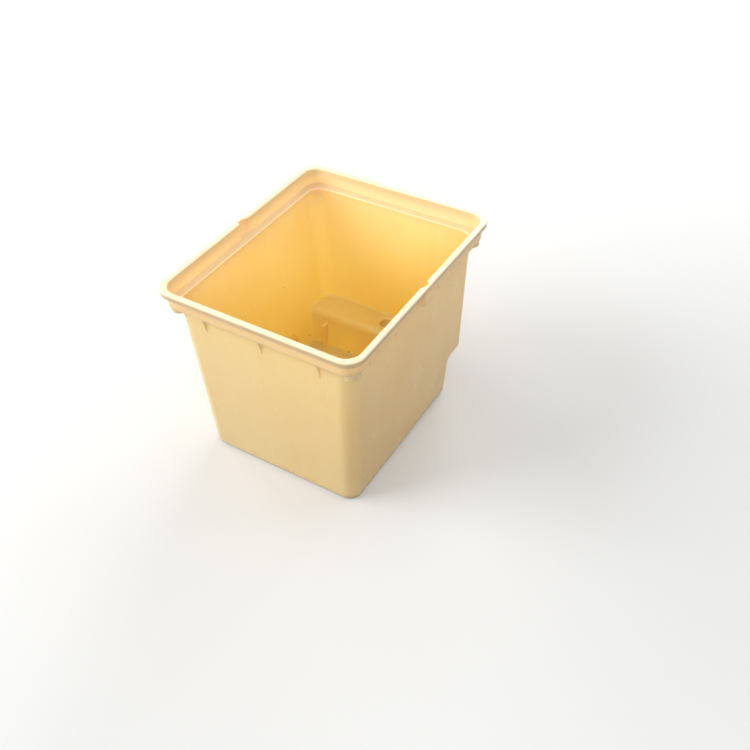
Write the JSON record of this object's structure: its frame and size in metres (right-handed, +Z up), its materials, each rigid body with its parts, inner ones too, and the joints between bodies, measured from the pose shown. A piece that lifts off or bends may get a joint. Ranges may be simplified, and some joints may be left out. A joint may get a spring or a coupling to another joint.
{
  "type": "aeroponic bucket",
  "caption": "Rectangular tapered plastic growing bucket with a flanged rim, an inner lid ledge and a raised drain shelf that sits over a drain pipe.",
  "frame": {"origin": "centre of the overall footprint, on the plane of the flat base", "axes": "+Z up, +X across the bucket, +Y from the front towards the drain side"},
  "size_m": [0.25, 0.294, 0.23],
  "materials": {
    "yellow_plastic": "satin"
  },
  "bodies": {
    "root": {"bucket": "yellow_plastic"}
  },
  "joints": []
}
